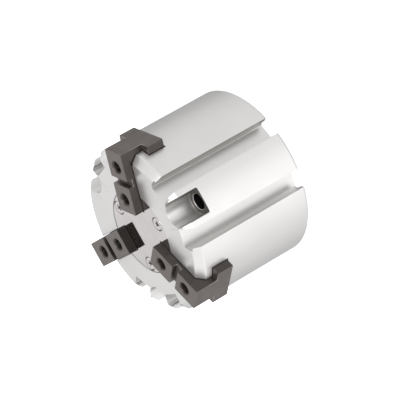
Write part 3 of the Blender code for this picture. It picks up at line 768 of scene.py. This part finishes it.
def make_body():
    seat = PLATE_BOTTOM - GAP
    profile = [
        (BODY_RADIUS - REAR_CHAMFER, 0.0), (BODY_RADIUS, REAR_CHAMFER),
        (BODY_RADIUS, BODY_LENGTH - RIM_CHAMFER), (BODY_RADIUS - RIM_CHAMFER, BODY_LENGTH),
        (PLATE_RADIUS + PLATE_PLAY, BODY_LENGTH), (PLATE_RADIUS + PLATE_PLAY, seat), (CENTRE_RADIUS, seat),
        (CENTRE_RADIUS, FLANGE_BOTTOM - GAP), (CHAMBER_RADIUS, FLANGE_BOTTOM - GAP),
        (CHAMBER_RADIUS, CHAMBER_FLOOR), (ROD_HOLE_RADIUS, CHAMBER_FLOOR),
        (ROD_HOLE_RADIUS, ROD_HOLE_BOTTOM), (SEAL_SEAT_RADIUS, ROD_HOLE_BOTTOM),
        (SEAL_SEAT_RADIUS, SEAL_SEAT_BOTTOM), (RETAINER_SEAT_RADIUS, SEAL_SEAT_BOTTOM),
        (RETAINER_SEAT_RADIUS, CYLINDER_TOP), (CYLINDER_RADIUS, CYLINDER_TOP),
        (CYLINDER_RADIUS, CYLINDER_BOTTOM), (CAP_SEAT_RADIUS, CYLINDER_BOTTOM),
        (CAP_SEAT_RADIUS, RING_SEAT_TOP), (RING_SEAT_RADIUS, RING_SEAT_TOP),
        (RING_SEAT_RADIUS, RING_SEAT_BOTTOM), (CAP_SEAT_RADIUS, RING_SEAT_BOTTOM), (CAP_SEAT_RADIUS, 0.0),
    ]
    body = carved("body_shell", turned(profile, left_out=cut_sides()), cuts=[
        around(FINGER_ANGLES, t_slot), around(FINGER_ANGLES, leg_slot),
        around(GROOVE_ANGLES, lambda: sensor_groove(GROOVE_FLOOR)),
        around(DEEP_GROOVE_ANGLES, lambda: sensor_groove(DEEP_GROOVE_FLOOR)),
        around(SCREW_ANGLES, screw_recess),
        around(SCREW_ANGLES, bolt_hole), around(SCREW_ANGLES, plate_pilot),
        together([port(height) for height in PORT_HEIGHTS]),
    ])
    eased(body, BODY_EDGE, spared=in_a_port)
    shaded(body)
    true_barrel(body)
    stand_in(body, "blasted_aluminium", "housing", "body")


# Fingers

def ridge_gaps():
    """Shallow level cuts across the finger's inner end, which leave ridges between them."""
    near = FINGER_INNER - RIDGE_DEPTH
    far = FINGER_INNER + RIDGE_DEPTH
    gaps = []
    for row in range(RIDGE_COUNT):
        height = PLATE_TOP + (row + RIDGE_START) * RIDGE_PITCH
        low = height - RIDGE_HALF
        high = height + RIDGE_HALF
        gaps.append(side_prism([(near, low), (far, low), (far, high), (near, high)], FINGER_WIDTH))
    return together(gaps)


def tapped_holes():
    """Cutters for the countersinks and the threads of a finger's two holes."""
    mouths = []
    bores = []
    for spot in TAPPED_PLACES:
        sink = TAPPED_MOUTH - M5_CORE
        low = FINGER_FRONT - sink
        high = FINGER_FRONT + sink
        mouth = [(0.0, low), (M5_CORE, low), (TAPPED_MOUTH + sink, high), (0.0, high)]
        mouths.append(moved(turned(mouth, 64), (spot, 0, 0)))
        bore = threaded_bore(M5_CORE, M5_RADIUS, M5_PITCH, FINGER_FRONT + TAPPED_PAST, TAPPED_DEPTH)
        bores.append(moved(bore, (spot, 0, 0)))
    return together(mouths), together(bores)


def in_a_tapped_hole(point):
    gaps = [math.hypot(point.x - spot, point.y) for spot in TAPPED_PLACES]
    return point.z > FINGER_FRONT - TAPPED_DEPTH - CUT_PAST and min(gaps) < TAPPED_MOUTH + MARGIN


def make_finger(number, angle):
    """A T-section block with tapped holes, on a leg whose T-shaped key follows the cam's slope."""
    block = FINGER_WIDTH / 2
    wide = FLANGE_WIDTH / 2
    half = [(wide, FLANGE_BOTTOM), (wide, FLANGE_TOP), (block, FLANGE_TOP), (block, FINGER_FRONT)]
    outline = half + [(-x, z) for x, z in reversed(half)]
    base = along_x(prism(outline, FINGER_INNER, FINGER_OUTER))
    outside = -GAP
    inside = 1.0 * MM
    toe = slope_point(KEY_HIGH, outside)
    leg = [toe, slope_point(LEG_BOTTOM, outside), (LEG_OUTER, LEG_BOTTOM),
           (LEG_OUTER, FLANGE_BOTTOM + inside), (FINGER_INNER + inside, FLANGE_BOTTOM + inside),
           (FINGER_INNER + inside, TOE_TOP), (toe[0], TOE_TOP)]
    neck = slope_strip(KEY_NECK_LOW, KEY_NECK_HIGH, outside - inside, KEY_DEPTH - inside)
    head = slope_strip(KEY_LOW, KEY_HEAD_HIGH, KEY_NECK_DEPTH, KEY_DEPTH)
    keyway = box((KEYWAY_INNER, KEYWAY_INNER + KEYWAY_WIDTH), (-wide, wide),
                 (FINGER_FRONT - KEYWAY_DEPTH, FINGER_FRONT + CUT_PAST))
    finger = carved(f"finger_{number}_steel", base, adds=[
        side_prism(leg, LEG_WIDTH / 2), side_prism(neck, KEY_NECK_WIDTH / 2),
        side_prism(head, KEY_HEAD_WIDTH / 2)], cuts=[keyway, ridge_gaps(), *tapped_holes()])
    eased(finger, FINGER_EDGE, spared=in_a_tapped_hole)
    finger.rotation_euler.z = math.radians(angle)
    shaded(finger)
    stand_in(finger, "treated_steel", f"jaw_{number}", f"finger_{number}")


# End plate and screws

def plate_sink():
    """A cutter for a screw's counterbored hole."""
    bottom = PLATE_BOTTOM - CUT_PAST
    top = PLATE_TOP + CUT_PAST
    step = PLATE_TOP - SINK_DEPTH
    profile = [(0.0, bottom), (PLATE_HOLE_RADIUS, bottom), (PLATE_HOLE_RADIUS, step),
               (SINK_RADIUS, step), (SINK_RADIUS, top), (0.0, top)]
    return moved(turned(profile, 64), (PLATE_SCREW_CIRCLE, 0, 0))


def plate_slot():
    half = FINGER_WIDTH / 2 + GAP
    return box((FINGER_INNER - GAP, PLATE_RADIUS + 2 * CUT_PAST), (-half, half),
               (PLATE_BOTTOM - CUT_PAST, PLATE_TOP + CUT_PAST))


def make_end_plate():
    plate = carved("end_plate_disc", prism(circle(PLATE_RADIUS, 192), PLATE_BOTTOM, PLATE_TOP),
                   cuts=[around(FINGER_ANGLES, plate_slot), around(SCREW_ANGLES, plate_sink)])
    eased(plate, PLATE_EDGE)
    shaded(plate)
    stand_in(plate, "polished_stainless", "housing", "end_plate")


def make_plate_screw(number):
    node_name = f"end_plate_screw_{number}"
    low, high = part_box(node_name)
    centre = (low + high) / 2
    top = high.z
    under_head = top - HEAD_HEIGHT
    arc = [math.radians(90 * i / 8) for i in range(9)]
    flat = HEAD_RADIUS - HEAD_CROWN
    shoulder = [(flat + HEAD_CROWN * math.cos(a), top - HEAD_CROWN + HEAD_CROWN * math.sin(a)) for a in arc]
    profile = [(0.0, low.z), (SHANK_TIP_RADIUS, low.z), (SHANK_RADIUS, low.z + SHANK_TIP),
               (SHANK_RADIUS, under_head), (HEAD_RADIUS, under_head)] + shoulder + [(0.0, top)]
    floor = top - CROSS_DEPTH
    past = top + CROSS_PAST
    wing = side_prism([(-CROSS_REACH, past), (-CROSS_FLOOR_REACH, floor),
                       (CROSS_FLOOR_REACH, floor), (CROSS_REACH, past)], CROSS_HALF)
    cross = moved(wing.copy(), turn=90.0)
    screw = carved(f"plate_screw_{number}", turned(profile, 64), cuts=[wing, cross])
    eased(screw, SCREW_EDGE)
    screw.location = (centre.x, centre.y, 0.0)
    screw.rotation_euler.z = math.radians(FIRST_CROSS_TURN + CROSS_TURN_STEP * (number - 1))
    shaded(screw)
    stand_in(screw, "polished_stainless", "housing", node_name)


# Rear cover and snap ring

def make_cap():
    profile = [
        (0.0, 0.0), (BOSS_RADIUS, 0.0), (BOSS_RADIUS, BOSS_HEIGHT), (CAP_RADIUS, BOSS_HEIGHT),
        (CAP_RADIUS, O_RING_BOTTOM), (O_RING_FLOOR, O_RING_BOTTOM), (O_RING_FLOOR, O_RING_TOP),
        (CAP_RADIUS, O_RING_TOP), (CAP_RADIUS, CAP_TOP), (DISH_RADIUS, CAP_TOP),
        (DISH_RADIUS - DISH_DEPTH, CAP_TOP - DISH_DEPTH), (0.0, CAP_TOP - DISH_DEPTH),
    ]
    cap = carved("rear_cover", turned(profile, 192))
    eased(cap, COVER_EDGE)
    shaded(cap)
    stand_in(cap, "machined_aluminium", "housing", "cap")


def make_snap_ring():
    """An open flat ring with an eye at each end."""
    span = 360 - 2 * RING_OPENING
    sweep = [math.radians(RING_OPENING + span * i / RING_STEPS) for i in range(RING_STEPS + 1)]
    outline = [(RING_OUTER * math.cos(a), RING_OUTER * math.sin(a)) for a in sweep]
    outline += [(RING_INNER * math.cos(a), RING_INNER * math.sin(a)) for a in reversed(sweep)]
    eyes = [math.radians(side * EYE_TURN) for side in (-1, 1)]
    places = [(EYE_CIRCLE * math.cos(eye), EYE_CIRCLE * math.sin(eye)) for eye in eyes]
    lobes = [prism(circle(EYE_RADIUS, 32, spot), RING_BOTTOM, RING_TOP) for spot in places]
    holes = [prism(circle(EYE_HOLE_RADIUS, 24, spot), RING_BOTTOM - CUT_PAST, RING_TOP + CUT_PAST)
             for spot in places]
    ring = carved("snap_ring", prism(outline, RING_BOTTOM, RING_TOP), adds=lobes, cuts=holes)
    eased(ring, RING_EDGE)
    ring.rotation_euler.z = math.radians(PORT_ANGLE)
    shaded(ring)
    stand_in(ring, "spring_steel", "housing", "retaining_ring")


# Studio

FLOOR_RADIUS = 3.0
FLOOR_THICKNESS = 0.02
FLOOR_DROP = 0.4 * MM        # how far the floor lies below the rear face
ROOM_BELOW = 0.37
ROOM_ABOVE = 0.57
HORIZON_HALF = 0.12
# Soft boxes round the gripper: azimuth, elevation and half width in degrees, and strength
SOFT_BOXES = (
    (-90.0, -22.0, 55.0, 0.12),
    (-50.0, -22.0, 55.0, 0.19),
    (-10.0, -22.0, 55.0, 0.50),
    (30.0, -22.0, 55.0, 0.39),
    (70.0, -22.0, 55.0, 0.11),
    (110.0, -22.0, 55.0, 0.33),
    (-70.0, 20.0, 55.0, 0.49),
    (-20.0, 20.0, 55.0, 0.15),
    (130.0, 20.0, 55.0, 0.24),
    (180.0, 25.0, 45.0, 0.38),
    (31.0, 50.0, 40.0, 1.37),
    (0.0, -70.0, 45.0, 0.20),
)
LAMP_SIZE = 0.5
LAMP_POWER = 0.2
LAMP_PLACE = (0.10, 0.35, 0.75)
LAMP_AIM = (0.0, 0.0, 0.03)
LENS = 258.2
SENSOR = 36.0
CAMERA_PLACE = (0.8445, 0.5138, 0.5495)
CAMERA_AIM = (0.0006, -0.0001, 0.0262)
CAMERA_ROLL = -119.80


def facing(spot, aim):
    """The rotation of a lamp or a camera that looks from one point to another."""
    return (Vector(aim) - Vector(spot)).to_track_quat("-Z", "Y")


def make_floor():
    floor = added("studio_floor", prism(circle(FLOOR_RADIUS, 96), -FLOOR_THICKNESS, -FLOOR_DROP))
    mat, tree, shader = new_material("studio_floor_look")
    shader.inputs["Roughness"].default_value = 0.9
    soft = ranged(tree, noise(tree, 3.0), 0.90, 0.92)
    tree.links.new(mixed(tree, soft, (0.9, 0.9, 0.9), (0.95, 0.95, 0.95)), shader.inputs["Base Color"])
    shader.inputs["Emission Color"].default_value = (1.0, 1.0, 1.0, 1.0)
    shader.inputs["Emission Strength"].default_value = 0.8
    floor.data.materials.append(mat)
    floor.visible_glossy = False
    floor.visible_diffuse = False


def make_room():
    """A pale room, lighter above than below, with soft boxes painted on its walls."""
    world = bpy.data.worlds.new("studio")
    bpy.context.scene.world = world
    world.use_nodes = True
    tree = world.node_tree
    direction = node(tree, "ShaderNodeTexCoord").outputs["Generated"]
    height = height_of(tree, direction)
    level = ranged(tree, height, ROOM_BELOW, ROOM_ABOVE, -HORIZON_HALF, HORIZON_HALF, "SMOOTHSTEP")
    for azimuth, elevation, half_width, strength in SOFT_BOXES:
        raised = Matrix.Rotation(math.radians(-elevation), 3, "Y")
        turned_round = Matrix.Rotation(math.radians(azimuth), 3, "Z")
        towards = vector_node(tree, "DOT_PRODUCT", direction, (turned_round @ raised).col[0])
        edge = math.cos(math.radians(half_width))
        glow = ranged(tree, towards, 0.0, strength, edge, 1.0, "SMOOTHSTEP")
        level = math_node(tree, "ADD", level, glow)
    grey = node(tree, "ShaderNodeCombineColor", {0: level, 1: level, 2: level})
    tree.links.new(grey.outputs[0], tree.nodes["Background"].inputs["Color"])


def make_lamp():
    lamp = bpy.data.lights.new("key", "AREA")
    lamp.size = LAMP_SIZE
    lamp.energy = LAMP_POWER
    holder = added("key", lamp)
    holder.location = LAMP_PLACE
    holder.rotation_euler = facing(LAMP_PLACE, LAMP_AIM).to_euler()


def make_camera():
    """A long lens from the front right, rolled so that the gripper seems to lie on its side."""
    camera = bpy.data.cameras.new("camera")
    camera.lens = LENS
    camera.sensor_width = SENSOR
    camera.clip_end = 20.0
    holder = added("camera", camera)
    holder.location = CAMERA_PLACE
    roll = Matrix.Rotation(math.radians(CAMERA_ROLL), 4, "Z")
    holder.rotation_euler = (facing(CAMERA_PLACE, CAMERA_AIM).to_matrix().to_4x4() @ roll).to_euler()
    bpy.context.scene.camera = holder
    bpy.context.scene.view_settings.view_transform = "Standard"


def main():
    make_camera()
    make_floor()
    make_room()
    make_lamp()
    make_body()
    for number, angle in enumerate(FINGER_ANGLES, 1):
        make_finger(number, angle)
    make_end_plate()
    for number in range(1, len(SCREW_ANGLES) + 1):
        make_plate_screw(number)
    make_cap()
    make_snap_ring()
    slots = {part["node"]: part["material_slot"] for part in frame["record"]["subparts"]}
    for name, part in frame["nodes"].items():
        if not part.hide_render:
            dress(part, slots[name])


main()
